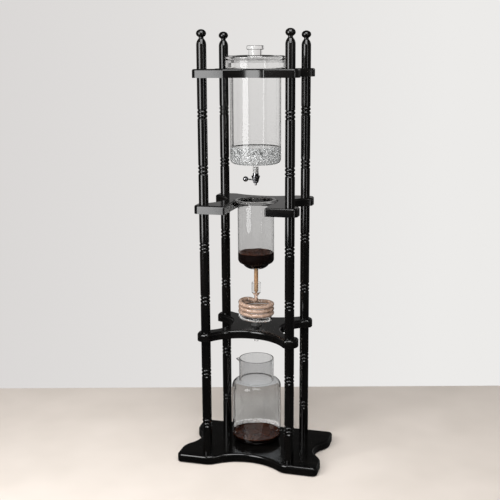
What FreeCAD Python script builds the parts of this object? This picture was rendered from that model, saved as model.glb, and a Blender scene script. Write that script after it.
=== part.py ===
import FreeCAD, Part
import math
import os

# Cold drip coffee tower: four boards and sixteen turned pieces carry a water beaker
# with a drip tap, a coffee beaker, a glass coil and a carafe, one under the other.
# Millimetres. +Z is up, -Y is the front, the origin is under the middle of the base.

# ---- Driving dimensions: timber frame --------------------------------------------
POST_PITCH_X = 230.0        # spindle centres, left to right
POST_PITCH_Y = 196.0        # spindle centres, front to back
POST_R = 12.7
TIER_H = 325.0              # clear height between two boards
BOARD_T = 22.0
BOARD_MARGIN = 22.5         # from a spindle's centre to the board's edge
EDGE_ROUND = 4.5            # radius run round the top edge of the two upper boards
LOW_EDGE_ROUND = 6.5        # the same, on the two lower boards
SHELF_CORNER_R = 14.0
PAD_CORNER_R = 22.0         # lower shelf: corners run round the spindles
ARRIS_R = 5.0               # where a scoop meets a straight edge
LOW_ARRIS_R = 12.0

BASE_T = 22.0
BASE_MARGIN_X = 81.0
BASE_MARGIN_Y = 30.0
BASE_CORNER_R = 14.0
BASE_LAND = 97.0            # straight front edge left at each end of the hollow
BASE_SCOOP_DEPTH = 42.0
BASE_SCOOP_EASE = 40.0
NOTCH_R = 66.0              # round notch in each end of the base
NOTCH_DEPTH = 30.0
NOTCH_EASE = 56.0

TOP_SCOOP_HALF = 52.0
TOP_SCOOP_DEPTH = 10.0
SIDE_LAND = 40.5            # straight edge left beside a spindle, on the two upper boards
BACK_LAND = 52.5
BACK_SCOOP_DEPTH = 26.0
TOP_WEB = 18.0              # wood left between the beaker hole and a side scoop
MIDDLE_WEB = 34.0
LOWER_FRONT_LAND = 33.5     # the same on the lower shelf, front and back
LOWER_FRONT_DEPTH = 61.0
LOWER_BACK_DEPTH = 33.0
LOWER_SIDE_LAND = 40.5
LOWER_WAIST = 72.0          # half width of the lower shelf at its narrowest

BEAD_GROUP_INSET = 91.0     # from a spindle's end to the middle of its beads
BEAD_COUNT = 2
BEAD_PITCH = 10.3
BEAD_PROUD = 0.5            # a bead's crown beyond the plain post
BEAD_ARC_R = 5.0            # roundness of a bead's face
GROOVE_DEPTH = 1.9
GROOVE_LEAD = 2.2           # slope down into the first groove, and up out of the last

FINIAL_SHAFT = 62.0
FINIAL_SHOULDER = 13.5
FINIAL_NECK_R = 6.2
FINIAL_NECK = 3.4
FINIAL_BALL_R = 12.8
FINIAL_BALL_HALF_H = 10.2

STUD_R = 3.0
STUD_BURY = 20.0            # length of stud inside each turned piece
STUD_CLEAR = 0.3            # round a stud where it passes through a board
BOLT_HEAD_R = 6.5
BOLT_HEAD_H = 4.0
BOLT_SINK = 5.0             # depth of the pocket under the base
BOLT_SINK_CLEAR = 1.5
FOOT_R = 15.0
FOOT_H = 3.0
FOOT_INSET = 27.0

# ---- Driving dimensions: water beaker, lid and tap -------------------------------
WATER_R = 67.5
WATER_WALL = 3.0
WATER_HOLE_CLEAR = 1.5
WATER_CORNER_R = 13.0
WATER_FLANGE = 10.5         # width of the flange outside the beaker's wall
WATER_FLANGE_H = 21.0
WATER_OUTLET_R = 7.5
WATER_OUTLET_BORE = 5.5
WATER_OUTLET_L = 26.0
DROP_GAP = 38.0             # from the nozzle's tip down to the coffee beaker's lip
LIP_ROUND = 2.0

LID_OVERHANG = 1.5
LID_RIM_H = 12.0
LID_DOME_H = 2.0
LID_PLUG_CLEAR = 1.0        # between the lid's ring and the inside of the flange
LID_PLUG_H = 6.5
LID_GLASS = 5.0
LID_NECK_R = 17.5
LID_NECK_H = 13.0
LID_KNOB_R = 22.6
LID_KNOB_H = 10.5

TAP_SHANK_R = 4.0
TAP_SHANK_L = 16.0
TAP_NUT_R = 8.0
TAP_NUT_H = 5.5
TAP_BODY_R = 10.6
TAP_BODY_H = 20.0
TAP_BODY_FOOT_R = 6.6
TAP_WATERWAY_R = 1.6
TAP_NOZZLE_R = 3.1
TAP_NOZZLE_H = 7.0
PLUG_R = 3.5
PLUG_CLEAR = 0.05           # running fit of the plug in the tap's barrel
PLUG_THREAD_R = 2.0
PLUG_DROP = 11.0            # plug's axis below the top of the tap's body
BARREL_R = 6.6
BARREL_HALF = 11.0
PLUG_HEAD_R = 5.0
PLUG_HEAD_L = 4.0
WASHER_T = 1.0
PLUG_NUT_T = 3.0
PLUG_NUT_ACROSS = 8.0
LEVER_R = 1.9
LEVER_REACH = 24.5
LEVER_RISE = 2.0
LEVER_BALL_R = 7.2

# ---- Driving dimensions: coffee beaker, filter, coil and carafe ------------------
COFFEE_R = 48.9
COFFEE_WALL = 2.0
COFFEE_LIP = 10.6           # width of the lip outside the beaker's wall
COFFEE_LIP_T = 5.0
LIP_SEAT_CLEAR = 1.0
LIP_SEAT_DEPTH = 2.0        # rebate that keeps the beaker from sliding forward
SLOT_CLEAR = 4.1
SLOT_ARRIS_R = 4.0
CUP_R = 34.2                # narrow cup under the coffee beaker
CUP_WALL_H = 4.0
CUP_BOWL_H = 10.0
COFFEE_SHOULDER_H = 11.5
DRIP_TUBE_R = 5.6
DRIP_TUBE_BORE = 3.8
DRIP_IN_CUP = 24.0          # length of drip tube inside the coil's funnel
FUNNEL_GAP = 41.0           # from the funnel's rim up to the coffee beaker
FILTER_T = 6.0
FILTER_HOLE_R = 2.2
FILTER_HOLE_RING = 18.0
FILTER_HOLES = 8
GASKET_W = 2.2

COIL_R = 43.6               # to the middle of the tube
COIL_TUBE_R = 5.6
COIL_WALL = 1.5
COIL_PITCH = 12.2
COIL_HALF_TURNS = 7
COIL_CLEAR = 18.0           # between the lowest turn and the shelf
COIL_CLOCK = -20.0          # degrees from +X, where the lowest turn starts
COIL_ARM_BEND_R = 14.0
COIL_NECK_BEND_R = 10.0
COIL_NECK_L = 8.0 
COIL_STEM_BELOW = 24.0      # outlet below the shelf
COIL_HOLE_R = 11.0
GROMMET_CLEAR = 0.3         # the coil's stem turns freely in its bush
GROMMET_FLANGE_R = 14.5
GROMMET_FLANGE_T = 3.0
GROMMET_NECK_R = 8.2
FUNNEL_R = 12.4
FUNNEL_H = 27.0
FUNNEL_CONE_H = 9.0

CARAFE_R = 68.8
CARAFE_WALL = 2.8
CARAFE_X = -8.0
CARAFE_Y = 30.0
CARAFE_HEADROOM = 84.0      # from its rim up to the lower shelf
CARAFE_NECK_R = 48.5
CARAFE_NECK_H = 63.0
CARAFE_SHOULDER_R = 18.0
CARAFE_FOOT_ROUND = 17.0
SPOUT_DROP = 19.0           # where the spout starts, below the rim
SPOUT_R = 10.0
SPOUT_REACH = 6.5
SPOUT_CLOCK = 22.0          # degrees, from the carafe's left towards the front

# ---- Heights and places that follow from them ------------------------------------
UP = FreeCAD.Vector(0, 0, 1)
ORIGIN = FreeCAD.Vector(0, 0, 0)
POST_X = POST_PITCH_X / 2
POST_Y = POST_PITCH_Y / 2
BOARD_X = POST_X + BOARD_MARGIN
BOARD_Y = POST_Y + BOARD_MARGIN
BASE_X = POST_X + BASE_MARGIN_X
BASE_Y = POST_Y + BASE_MARGIN_Y
BASE_SCOOP_HALF = BASE_X - BASE_LAND
LOWER_FRONT_HALF = BOARD_X - LOWER_FRONT_LAND
LOWER_SIDE_HALF = BOARD_Y - LOWER_SIDE_LAND
SIDE_SCOOP_HALF = BOARD_Y - SIDE_LAND
BACK_SCOOP_HALF = BOARD_X - BACK_LAND
CORNERS = {
    "front_left": (-POST_X, -POST_Y),
    "front_right": (POST_X, -POST_Y),
    "back_left": (-POST_X, POST_Y),
    "back_right": (POST_X, POST_Y),
}

Z_BASE = FOOT_H
Z_BASE_TOP = Z_BASE + BASE_T
Z_LOWER = Z_BASE_TOP + TIER_H
Z_LOWER_TOP = Z_LOWER + BOARD_T
Z_MIDDLE = Z_LOWER_TOP + TIER_H
Z_MIDDLE_TOP = Z_MIDDLE + BOARD_T
Z_TOP = Z_MIDDLE_TOP + TIER_H
Z_TOP_TOP = Z_TOP + BOARD_T
TIERS = {"lower": Z_BASE_TOP, "middle": Z_LOWER_TOP, "upper": Z_MIDDLE_TOP}

BEAD_R = POST_R + BEAD_PROUD
GROOVE_R = POST_R - GROOVE_DEPTH

WATER_HOLE_R = WATER_R + WATER_HOLE_CLEAR
WATER_FLANGE_R = WATER_R + WATER_FLANGE
WATER_RIM = Z_TOP_TOP + WATER_FLANGE_H
SLOT_R = COFFEE_R + SLOT_CLEAR
COFFEE_LIP_R = COFFEE_R + COFFEE_LIP
LIP_SEAT_R = COFFEE_LIP_R + LIP_SEAT_CLEAR
LIP_SEAT_Z = Z_MIDDLE_TOP - LIP_SEAT_DEPTH
COFFEE_RIM = LIP_SEAT_Z + COFFEE_LIP_T

NOZZLE_TIP = COFFEE_RIM + DROP_GAP
TAP_BODY_FOOT = NOZZLE_TIP + TAP_NOZZLE_H
TAP_BODY_TOP = TAP_BODY_FOOT + TAP_BODY_H
WATER_OUTLET_END = TAP_BODY_TOP + TAP_NUT_H
WATER_FLOOR = WATER_OUTLET_END + WATER_OUTLET_L
PLUG_Z = TAP_BODY_TOP - PLUG_DROP

COIL_Z = Z_LOWER_TOP + COIL_CLEAR + COIL_TUBE_R
COIL_TOP = COIL_Z + COIL_HALF_TURNS * COIL_PITCH / 2
FUNNEL_FOOT = COIL_TOP + COIL_NECK_BEND_R + COIL_NECK_L
FUNNEL_RIM = FUNNEL_FOOT + FUNNEL_CONE_H + FUNNEL_H
COFFEE_FLOOR = FUNNEL_RIM + FUNNEL_GAP
DRIP_TIP = FUNNEL_RIM - DRIP_IN_CUP
CUP_BOWL_TOP = COFFEE_FLOOR + CUP_BOWL_H
CUP_TOP = CUP_BOWL_TOP + CUP_WALL_H
CUP_INNER_R = CUP_R - COFFEE_WALL
COFFEE_SHOULDER_TOP = CUP_TOP + COFFEE_SHOULDER_H

CARAFE_RIM = Z_BASE_TOP + TIER_H - CARAFE_HEADROOM
CARAFE_NECK_FOOT = CARAFE_RIM - CARAFE_NECK_H


# ---- Ways of making a piece ------------------------------------------------------
def vec(r, z):
    """A point of a turned profile: radius and height."""
    return FreeCAD.Vector(r, 0, z)


def round_to(centre_r, centre_z, radius, start, end):
    """The middle and the end of a profile's arc, from its centre and angles."""
    points = []
    for angle in ((start + end) / 2, end):
        turn = math.radians(angle)
        points.append((centre_r + radius * math.cos(turn), centre_z + radius * math.sin(turn)))
    return tuple(points)


def turned(profile):
    """Turn a closed profile about Z. A pair of points in it is an arc's middle and end."""
    edges = []
    here = vec(*profile[0])
    for step in profile[1:]:
        if isinstance(step[0], tuple):
            middle, end = vec(*step[0]), vec(*step[1])
            edges.append(Part.Arc(here, middle, end).toShape())
        else:
            end = vec(*step)
            edges.append(Part.makeLine(here, end))
        here = end
    edges.append(Part.makeLine(here, vec(*profile[0])))
    return Part.Face(Part.Wire(edges)).revolve(ORIGIN, UP, 360)


def rod(radius, z_low, z_high, x=0.0, y=0.0):
    return Part.makeCylinder(radius, z_high - z_low, FreeCAD.Vector(x, y, z_low), UP)


def tube(outer, bore, z_low, z_high):
    return rod(outer, z_low, z_high).cut(rod(bore, z_low, z_high))


def rod_along_y(radius, y_low, y_high, z):
    start = FreeCAD.Vector(0, y_low, z)
    return Part.makeCylinder(radius, y_high - y_low, start, FreeCAD.Vector(0, 1, 0))


def at_corners(make):
    """One copy of a piece at each of the four spindle places, as separate solids."""
    return Part.makeCompound([make(x, y) for x, y in CORNERS.values()])


def scoop(half_chord, depth, edge, side, thick, z):
    """The round cutter that hollows one straight edge of a board."""
    radius = (half_chord ** 2 + depth ** 2) / (2 * depth)
    reach = edge + radius - depth
    x, y = {"front": (0, -reach), "back": (0, reach), "left": (-reach, 0), "right": (reach, 0)}[side]
    return rod(radius, z - 1, z + thick + 1, x, y)


def upright_edges(shape, wanted):
    """The board's vertical edges whose place passes the test."""
    found = []
    for edge in shape.Edges:
        box = edge.BoundBox
        if box.XLength < 0.01 and box.YLength < 0.01 and wanted(abs(box.XMin), abs(box.YMin)):
            found.append(edge)
    return found


def round_top(shape, z, radius):
    edges = [e for e in shape.Edges if abs(e.BoundBox.ZMin - z) < 0.01 and abs(e.BoundBox.ZMax - z) < 0.01]
    return shape.makeFillet(radius, edges)


def blank(half_x, half_y, thick, z, cutters, corner_r, ease_r):
    """A board sawn to its outline, with its corners and the ends of its scoops eased."""
    board = Part.makeBox(2 * half_x, 2 * half_y, thick, FreeCAD.Vector(-half_x, -half_y, z))
    board = board.cut(cutters)
    arrises = upright_edges(board, lambda x, y: (x > half_x - 0.1) != (y > half_y - 0.1))
    board = board.makeFillet(ease_r, arrises)
    corners = upright_edges(board, lambda x, y: x > half_x - 0.1 and y > half_y - 0.1)
    return board.makeFillet(corner_r, corners)


def drilled(board, radius, z_low, z_high):
    return board.cut(at_corners(lambda x, y: rod(radius, z_low, z_high, x, y)))


# ---- Timber frame ----------------------------------------------------------------
def base_plate():
    notch_centre = BASE_X + NOTCH_R - NOTCH_DEPTH
    notches = [rod(NOTCH_R, Z_BASE - 1, Z_BASE_TOP + 1, side * notch_centre) for side in (-1, 1)]
    front = scoop(BASE_SCOOP_HALF, BASE_SCOOP_DEPTH, BASE_Y, "front", BASE_T, Z_BASE)
    board = Part.makeBox(2 * BASE_X, 2 * BASE_Y, BASE_T, FreeCAD.Vector(-BASE_X, -BASE_Y, Z_BASE))
    board = board.cut(notches + [front])
    corner = upright_edges(board, lambda x, y: x > BASE_X - 0.1 and y > BASE_Y - 0.1)
    board = board.makeFillet(BASE_CORNER_R, corner)
    horn = upright_edges(board, lambda x, y: abs(x - BASE_SCOOP_HALF) < 0.1 and y > BASE_Y - 0.1)
    board = board.makeFillet(BASE_SCOOP_EASE, horn)
    lobe = upright_edges(board, lambda x, y: x > BASE_X - 0.1 and y < NOTCH_R)
    board = board.makeFillet(NOTCH_EASE, lobe)
    board = round_top(board, Z_BASE_TOP, LOW_EDGE_ROUND)
    board = drilled(board, STUD_R + STUD_CLEAR, Z_BASE, Z_BASE_TOP)
    return drilled(board, BOLT_HEAD_R + BOLT_SINK_CLEAR, Z_BASE, Z_BASE + BOLT_SINK)


def lower_shelf():
    cutters = [
        scoop(LOWER_FRONT_HALF, LOWER_FRONT_DEPTH, BOARD_Y, "front", BOARD_T, Z_LOWER),
        scoop(LOWER_FRONT_HALF, LOWER_BACK_DEPTH, BOARD_Y, "back", BOARD_T, Z_LOWER),
        scoop(LOWER_SIDE_HALF, BOARD_X - LOWER_WAIST, BOARD_X, "left", BOARD_T, Z_LOWER),
        scoop(LOWER_SIDE_HALF, BOARD_X - LOWER_WAIST, BOARD_X, "right", BOARD_T, Z_LOWER),
    ]
    board = blank(BOARD_X, BOARD_Y, BOARD_T, Z_LOWER, cutters, PAD_CORNER_R, LOW_ARRIS_R)
    board = round_top(board, Z_LOWER_TOP, LOW_EDGE_ROUND)
    board = board.cut(rod(COIL_HOLE_R, Z_LOWER, Z_LOWER_TOP))
    return drilled(board, STUD_R + STUD_CLEAR, Z_LOWER, Z_LOWER_TOP)


def side_scoops(waist, z):
    return [scoop(SIDE_SCOOP_HALF, BOARD_X - waist, BOARD_X, side, BOARD_T, z) for side in ("left", "right")]


def middle_shelf():
    cutters = side_scoops(SLOT_R + MIDDLE_WEB, Z_MIDDLE)
    cutters.append(scoop(BACK_SCOOP_HALF, BACK_SCOOP_DEPTH, BOARD_Y, "back", BOARD_T, Z_MIDDLE))
    board = blank(BOARD_X, BOARD_Y, BOARD_T, Z_MIDDLE, cutters, SHELF_CORNER_R, ARRIS_R)
    mouth = FreeCAD.Vector(-SLOT_R, -BOARD_Y - 1, Z_MIDDLE)
    slot = Part.makeBox(2 * SLOT_R, BOARD_Y + 1, BOARD_T, mouth).fuse(rod(SLOT_R, Z_MIDDLE, Z_MIDDLE_TOP))
    board = board.cut(slot.removeSplitter())
    slot_end = upright_edges(board, lambda x, y: abs(x - SLOT_R) < 0.1 and y > BOARD_Y - 0.1)
    board = board.makeFillet(SLOT_ARRIS_R, slot_end)
    board = round_top(board, Z_MIDDLE_TOP, EDGE_ROUND)
    board = board.cut(rod(LIP_SEAT_R, LIP_SEAT_Z, Z_MIDDLE_TOP))
    return drilled(board, STUD_R + STUD_CLEAR, Z_MIDDLE, Z_MIDDLE_TOP)


def top_plate():
    cutters = side_scoops(WATER_HOLE_R + TOP_WEB, Z_TOP)
    cutters.append(scoop(BACK_SCOOP_HALF, BACK_SCOOP_DEPTH, BOARD_Y, "back", BOARD_T, Z_TOP))
    cutters.append(scoop(TOP_SCOOP_HALF, TOP_SCOOP_DEPTH, BOARD_Y, "front", BOARD_T, Z_TOP))
    board = blank(BOARD_X, BOARD_Y, BOARD_T, Z_TOP, cutters, SHELF_CORNER_R, ARRIS_R)
    board = round_top(board, Z_TOP_TOP, EDGE_ROUND)
    board = board.cut(rod(WATER_HOLE_R, Z_TOP, Z_TOP_TOP))
    return drilled(board, STUD_R + STUD_CLEAR, Z_TOP, Z_TOP_TOP)


def spindle(x, y, z):
    """A turned post with two groups of beads, bored at both ends for its studs."""
    profile = [(0, 0), (POST_R, 0)]
    group_half = BEAD_COUNT * BEAD_PITCH / 2
    bead_half = math.sqrt(BEAD_ARC_R ** 2 - (BEAD_ARC_R - BEAD_R + GROOVE_R) ** 2)
    for middle in (BEAD_GROUP_INSET, TIER_H - BEAD_GROUP_INSET):
        low = middle - group_half
        profile += [(POST_R, low - GROOVE_LEAD), (GROOVE_R, low)]
        for bead in range(BEAD_COUNT):
            crown = low + (bead + 0.5) * BEAD_PITCH
            profile.append((GROOVE_R, crown - bead_half))
            profile.append(((BEAD_R, crown), (GROOVE_R, crown + bead_half)))
        profile += [(GROOVE_R, middle + group_half), (POST_R, middle + group_half + GROOVE_LEAD)]
    profile += [(POST_R, TIER_H), (0, TIER_H)]
    post = turned(profile)
    post = post.cut([rod(STUD_R, 0, STUD_BURY), rod(STUD_R, TIER_H - STUD_BURY, TIER_H)])
    post.translate(FreeCAD.Vector(x, y, z))
    return post


def finial(x, y):
    """The short turned top: plain shaft, sloping shoulder, thin neck, flattened ball."""
    shoulder_top = FINIAL_SHAFT + FINIAL_SHOULDER
    neck_top = shoulder_top + FINIAL_NECK
    neck_share = math.asin(FINIAL_NECK_R / FINIAL_BALL_R)
    ball_z = neck_top + FINIAL_BALL_HALF_H * math.cos(neck_share)
    shaft = turned([
        (0, 0),
        (POST_R, 0),
        (POST_R, FINIAL_SHAFT),
        (POST_R - 0.9, FINIAL_SHAFT + FINIAL_SHOULDER * 0.30),
        (POST_R - 2.4, FINIAL_SHAFT + FINIAL_SHOULDER * 0.58),
        (POST_R - 4.6, FINIAL_SHAFT + FINIAL_SHOULDER * 0.84),
        (FINIAL_NECK_R, shoulder_top),
        (FINIAL_NECK_R, ball_z),
        (0, ball_z),
    ])
    flatten = FreeCAD.Matrix()
    flatten.scale(1, 1, FINIAL_BALL_HALF_H / FINIAL_BALL_R)
    ball = Part.makeSphere(FINIAL_BALL_R).transformGeometry(flatten)
    ball.translate(FreeCAD.Vector(0, 0, ball_z))
    piece = shaft.fuse(ball).removeSplitter().cut(rod(STUD_R, 0, STUD_BURY))
    piece.translate(FreeCAD.Vector(x, y, Z_TOP_TOP))
    return piece


def studs(z):
    """Double-ended studs that pull a board between the spindles above and below it."""
    return at_corners(lambda x, y: rod(STUD_R, z - STUD_BURY, z + BOARD_T + STUD_BURY, x, y))


def base_bolts():
    head_z = Z_BASE + BOLT_SINK - BOLT_HEAD_H

    def bolt(x, y):
        shank = rod(STUD_R, head_z + BOLT_HEAD_H, Z_BASE_TOP + STUD_BURY, x, y)
        return shank.fuse(rod(BOLT_HEAD_R, head_z, head_z + BOLT_HEAD_H, x, y)).removeSplitter()

    return at_corners(bolt)


def foot_pads():
    x, y = BASE_X - FOOT_INSET, BASE_Y - FOOT_INSET
    places = ((-x, -y), (x, -y), (-x, y), (x, y))
    return Part.makeCompound([rod(FOOT_R, 0, FOOT_H, *place) for place in places])


# ---- Water beaker, lid and tap ---------------------------------------------------
def water_beaker():
    """Glass beaker hung by its flange, with an outlet tube blown on its floor."""
    inner_r = WATER_R - WATER_WALL
    corner = WATER_R - WATER_CORNER_R
    floor = WATER_FLOOR + WATER_WALL
    inner_corner = WATER_CORNER_R - WATER_WALL
    outer = turned([
        (0, WATER_OUTLET_END),
        (WATER_OUTLET_R, WATER_OUTLET_END),
        (WATER_OUTLET_R, WATER_FLOOR),
        (corner, WATER_FLOOR),
        round_to(corner, WATER_FLOOR + WATER_CORNER_R, WATER_CORNER_R, -90, 0),
        (WATER_R, Z_TOP_TOP),
        (WATER_FLANGE_R - LIP_ROUND, Z_TOP_TOP),
        round_to(WATER_FLANGE_R - LIP_ROUND, Z_TOP_TOP + LIP_ROUND, LIP_ROUND, -90, 0),
        (WATER_FLANGE_R, WATER_RIM),
        (0, WATER_RIM),
    ])
    inner = turned([
        (0, WATER_OUTLET_END - 1),
        (WATER_OUTLET_BORE, WATER_OUTLET_END - 1),
        (WATER_OUTLET_BORE, floor),
        (corner, floor),
        round_to(corner, floor + inner_corner, inner_corner, -90, 0),
        (inner_r, Z_TOP_TOP + WATER_WALL),
        (WATER_FLANGE_R - WATER_WALL, Z_TOP_TOP + WATER_WALL),
        (WATER_FLANGE_R - WATER_WALL, WATER_RIM + 1),
        (0, WATER_RIM + 1),
    ])
    return outer.cut(inner)


def beaker_lid():
    """Pressed glass lid: rounded rim, low dome, knob, and a ring that centres it."""
    rim_r = WATER_FLANGE_R + LID_OVERHANG
    ring_r = WATER_FLANGE_R - WATER_WALL - LID_PLUG_CLEAR
    edge_r = LID_RIM_H / 2
    rim_top = WATER_RIM + LID_RIM_H
    dome_top = rim_top + LID_DOME_H
    neck_top = dome_top + LID_NECK_H
    knob_edge = LID_KNOB_H / 4
    knob_top = neck_top + LID_KNOB_H
    return turned([
        (0, rim_top - LID_GLASS + LID_DOME_H),
        (ring_r - LID_GLASS, rim_top - LID_GLASS),
        (ring_r - LID_GLASS, WATER_RIM - LID_PLUG_H),
        (ring_r, WATER_RIM - LID_PLUG_H),
        (ring_r, WATER_RIM),
        (rim_r - edge_r, WATER_RIM),
        round_to(rim_r - edge_r, WATER_RIM + edge_r, edge_r, -90, 90),
        (LID_NECK_R, dome_top),
        (LID_NECK_R, neck_top),
        (LID_KNOB_R - knob_edge, neck_top),
        round_to(LID_KNOB_R - knob_edge, neck_top + knob_edge, knob_edge, -90, 0),
        (LID_KNOB_R, knob_top - knob_edge),
        round_to(LID_KNOB_R - knob_edge, knob_top - knob_edge, knob_edge, 0, 90),
        (0, knob_top),
    ])


def tap_seal():
    """Silicone sleeve that holds the tap's shank in the glass outlet."""
    return tube(WATER_OUTLET_BORE, TAP_SHANK_R, WATER_OUTLET_END, WATER_OUTLET_END + TAP_SHANK_L)


def tap_nut():
    return tube(TAP_NUT_R, TAP_SHANK_R, TAP_BODY_TOP, WATER_OUTLET_END)


def tap_body():
    """Cast body: shank, waisted bowl and a cross barrel bored for the plug."""
    bowl = turned([
        (TAP_WATERWAY_R, TAP_BODY_FOOT),
        (TAP_BODY_FOOT_R, TAP_BODY_FOOT),
        (TAP_BODY_R, TAP_BODY_TOP - 5.0),
        round_to(TAP_BODY_R - 2.0, TAP_BODY_TOP - 5.0 + 2.0, 2.0 * math.sqrt(2), -45, 45),
        (TAP_SHANK_R + 1.0, TAP_BODY_TOP),
        (TAP_SHANK_R, TAP_BODY_TOP),
        (TAP_SHANK_R, WATER_OUTLET_END + TAP_SHANK_L),
        (TAP_WATERWAY_R, WATER_OUTLET_END + TAP_SHANK_L),
    ])
    barrel = rod_along_y(BARREL_R, -BARREL_HALF, BARREL_HALF, PLUG_Z)
    body = bowl.fuse(barrel)
    body = body.cut(rod(TAP_WATERWAY_R, TAP_BODY_FOOT, TAP_BODY_TOP))
    body = body.cut(rod_along_y(PLUG_R + PLUG_CLEAR, -BARREL_HALF, BARREL_HALF, PLUG_Z))
    return body.removeSplitter()


def drip_nozzle():
    return turned([
        (TAP_WATERWAY_R, NOZZLE_TIP),
        (TAP_NOZZLE_R - 0.8, NOZZLE_TIP),
        (TAP_NOZZLE_R, NOZZLE_TIP + 2.0),
        (TAP_NOZZLE_R, TAP_BODY_FOOT),
        (TAP_WATERWAY_R, TAP_BODY_FOOT),
    ])


def tap_plug():
    """The turning plug: cross hole for the drip, head for the lever, thread at the back."""
    back = BARREL_HALF + WASHER_T + PLUG_NUT_T + 1.0
    plug = rod_along_y(PLUG_R, -BARREL_HALF, BARREL_HALF, PLUG_Z)
    plug = plug.cut(rod(TAP_WATERWAY_R, PLUG_Z - PLUG_R - 1, PLUG_Z + PLUG_R + 1))
    thread = rod_along_y(PLUG_THREAD_R, BARREL_HALF, back, PLUG_Z)
    head = rod_along_y(PLUG_HEAD_R, -BARREL_HALF - PLUG_HEAD_L, -BARREL_HALF, PLUG_Z)
    return plug.fuse([thread, head]).removeSplitter()


def lever_line():
    """Where the lever leaves the plug's head, and the middle of its ball."""
    y = -BARREL_HALF - PLUG_HEAD_L / 2
    start = FreeCAD.Vector(0, y, PLUG_Z)
    return start, FreeCAD.Vector(-LEVER_REACH, y, PLUG_Z + LEVER_RISE)


def tap_lever():
    start, end = lever_line()
    run = end - start
    lever = Part.makeCylinder(LEVER_R, run.Length, start, run)
    head = rod_along_y(PLUG_HEAD_R, start.y - PLUG_HEAD_L / 2, start.y + PLUG_HEAD_L / 2, PLUG_Z)
    return lever.cut([head, Part.makeSphere(LEVER_BALL_R, end)])


def tap_ball():
    return Part.makeSphere(LEVER_BALL_R, lever_line()[1])


def plug_washer():
    ring = rod_along_y(PLUG_HEAD_R, BARREL_HALF, BARREL_HALF + WASHER_T, PLUG_Z)
    return ring.cut(rod_along_y(PLUG_THREAD_R, BARREL_HALF, BARREL_HALF + WASHER_T, PLUG_Z))


def plug_nut():
    start = BARREL_HALF + WASHER_T
    radius = PLUG_NUT_ACROSS / 2 / math.cos(math.pi / 6)
    corners = []
    for side in range(7):
        turn = side * math.pi / 3
        corners.append(FreeCAD.Vector(radius * math.cos(turn), start, PLUG_Z + radius * math.sin(turn)))
    hexagon = Part.Face(Part.makePolygon(corners)).extrude(FreeCAD.Vector(0, PLUG_NUT_T, 0))
    return hexagon.cut(rod_along_y(PLUG_THREAD_R, start, start + PLUG_NUT_T, PLUG_Z))


# ---- Coffee beaker and filter ----------------------------------------------------
def coffee_beaker():
    """Glass beaker hung by its lip, stepped in to a small bowl with the drip tube."""
    wall = COFFEE_WALL
    inner_r = COFFEE_R - wall
    shoulder_r = COFFEE_R - CUP_R
    bowl_mid = (CUP_R * 0.80, COFFEE_FLOOR + CUP_BOWL_H * 0.36)
    inner_bowl_mid = (bowl_mid[0] - wall * 0.7, bowl_mid[1] + wall * 0.8)
    outer = turned([
        (0, DRIP_TIP),
        (DRIP_TUBE_R, DRIP_TIP),
        (DRIP_TUBE_R, COFFEE_FLOOR),
        (bowl_mid, (CUP_R, CUP_BOWL_TOP)),
        (CUP_R, CUP_TOP),
        ((CUP_R + shoulder_r * 0.75, CUP_TOP + COFFEE_SHOULDER_H * 0.32), (COFFEE_R, COFFEE_SHOULDER_TOP)),
        (COFFEE_R, LIP_SEAT_Z),
        (COFFEE_LIP_R - LIP_ROUND, LIP_SEAT_Z),
        round_to(COFFEE_LIP_R - LIP_ROUND, LIP_SEAT_Z + LIP_ROUND, LIP_ROUND, -90, 0),
        (COFFEE_LIP_R, COFFEE_RIM - LIP_ROUND),
        round_to(COFFEE_LIP_R - LIP_ROUND, COFFEE_RIM - LIP_ROUND, LIP_ROUND, 0, 90),
        (0, COFFEE_RIM),
    ])
    inner = turned([
        (0, DRIP_TIP - 1),
        (DRIP_TUBE_BORE, DRIP_TIP - 1),
        (DRIP_TUBE_BORE, COFFEE_FLOOR + wall),
        (inner_bowl_mid, (CUP_INNER_R, CUP_BOWL_TOP)),
        (CUP_INNER_R, CUP_TOP + wall * 0.7),
        ((CUP_INNER_R + shoulder_r * 0.75, CUP_TOP + COFFEE_SHOULDER_H * 0.32 + wall * 0.8),
         (inner_r, COFFEE_SHOULDER_TOP + wall * 0.7)),
        (inner_r, COFFEE_RIM + 1),
        (0, COFFEE_RIM + 1),
    ])
    return outer.cut(inner)


def filter_gasket():
    return tube(CUP_INNER_R, CUP_INNER_R - GASKET_W, CUP_BOWL_TOP, CUP_BOWL_TOP + FILTER_T)


def filter_disc():
    """Perforated ceramic disc in the bowl's mouth, under the ground coffee."""
    low, high = CUP_BOWL_TOP, CUP_BOWL_TOP + FILTER_T
    disc = rod(CUP_INNER_R - GASKET_W, low, high)
    holes = [rod(FILTER_HOLE_R, low, high)]
    for hole in range(FILTER_HOLES):
        turn = 2 * math.pi * hole / FILTER_HOLES
        x, y = FILTER_HOLE_RING * math.cos(turn), FILTER_HOLE_RING * math.sin(turn)
        holes.append(rod(FILTER_HOLE_R, low, high, x, y))
    return disc.cut(holes)


# ---- Glass coil ------------------------------------------------------------------
def coil_point(x, y, z, half_turns=0):
    """A point of the coil, turned in plan to where it starts and by a number of half turns."""
    turn = math.radians(COIL_CLOCK) + math.pi * half_turns
    return FreeCAD.Vector(x * math.cos(turn) - y * math.sin(turn), x * math.sin(turn) + y * math.cos(turn), z)


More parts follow.
